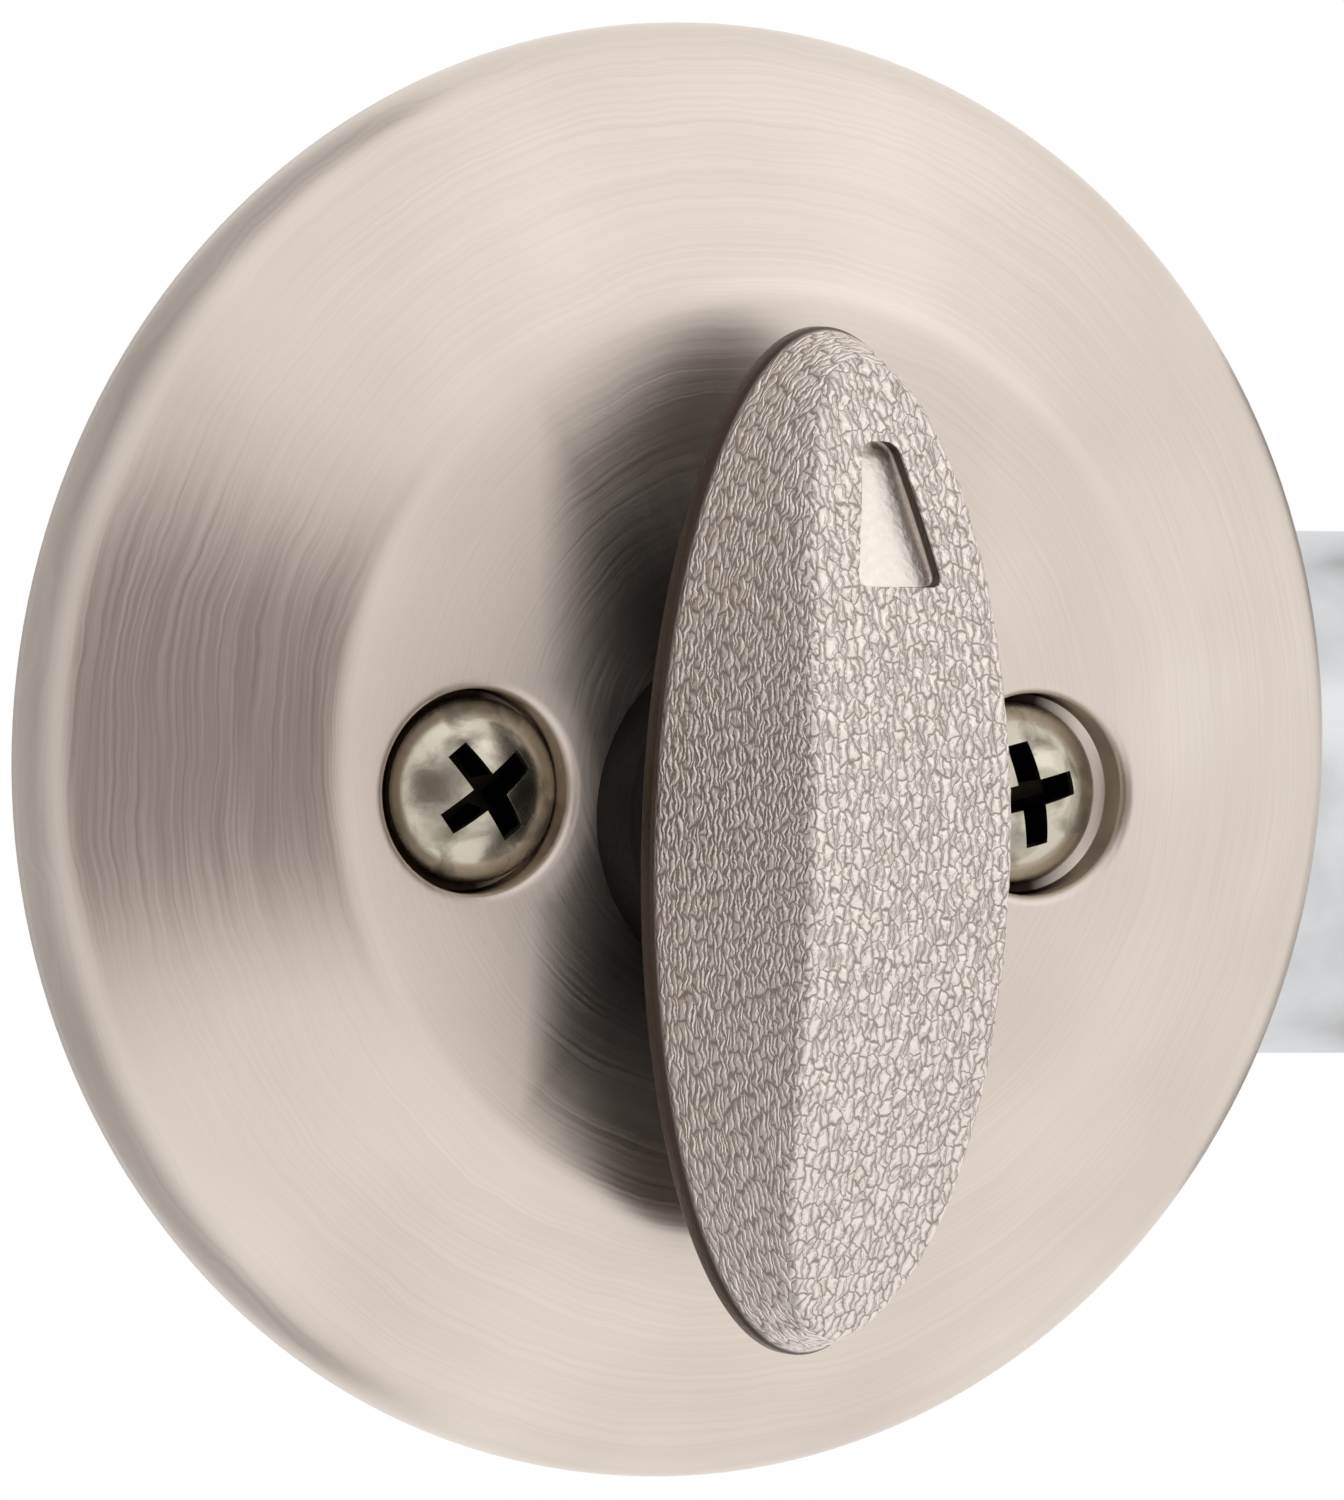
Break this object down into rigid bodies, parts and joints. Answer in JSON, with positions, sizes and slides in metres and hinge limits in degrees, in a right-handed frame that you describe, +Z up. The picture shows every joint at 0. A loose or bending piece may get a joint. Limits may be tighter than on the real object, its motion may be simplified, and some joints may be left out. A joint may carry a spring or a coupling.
{
  "type": "deadbolt door lock",
  "caption": "One-sided tubular deadbolt: oval leather-grain thumbturn on a round domed satin nickel rose, with a cam-driven throw bolt, tube and faceplate for the door's edge.",
  "frame": {"origin": "on the thumbturn's axis, at the plane where the rose rests on the door's inside face", "axes": "+Z up, +Y into the door, away from the room, +X towards the door's edge, the way the bolt throws"},
  "size_m": [0.0938, 0.0567, 0.067],
  "materials": {
    "brushed_satin_nickel": "circular brushed satin nickel plate",
    "cast_satin_nickel": "leather-grain die casting, satin nickel plate",
    "black_acetal": "moulded, semi-matt",
    "spring_steel": "blued spring steel",
    "zinc_plated_steel": "bright zinc plate",
    "nickel_plated_screw": "polished nickel plate",
    "bright_rivet_steel": "bright drawn steel",
    "zinc_casting": "as-cast zinc alloy",
    "nickel_plated_bolt": "lengthwise brushed satin nickel plate"
  },
  "bodies": {
    "trim_and_case": {"rose": "brushed_satin_nickel", "turnpiece_bushing": "black_acetal", "mounting_screws": "nickel_plated_screw", "clamp_bar": "zinc_plated_steel", "case_plate_front": "zinc_plated_steel", "case_plate_rear": "zinc_plated_steel", "case_rivets": "bright_rivet_steel", "detent_spring": "spring_steel", "bolt_tube": "zinc_plated_steel", "backing_plate": "zinc_plated_steel", "faceplate": "brushed_satin_nickel", "faceplate_screws": "nickel_plated_screw"},
    "thumbturn": {"turnpiece": "cast_satin_nickel", "wave_washer": "spring_steel", "retaining_clip": "spring_steel", "torque_blade": "zinc_plated_steel", "blade_pin": "spring_steel", "cam": "zinc_casting"},
    "bolt": {"deadbolt": "nickel_plated_bolt", "anti_saw_pin": "bright_rivet_steel", "bolt_tail": "zinc_plated_steel", "tail_rivets": "bright_rivet_steel", "drive_pin": "bright_rivet_steel"}
  },
  "joints": [
    {"name": "thumbturn_turn", "type": "hinge", "parent": "trim_and_case", "child": "thumbturn", "pos_m": [0, 0, 0], "axis": [0, 1, 0], "range_deg": [0, 90]},
    {"name": "bolt_throw", "type": "slide", "parent": "trim_and_case", "child": "bolt", "axis": [1, 0, 0], "range_m": [0, 0.0254]}
  ],
  "couplings": [
    {"joint": "thumbturn_turn", "follows": "bolt_throw", "rad_per_m": 61.842}
  ]
}
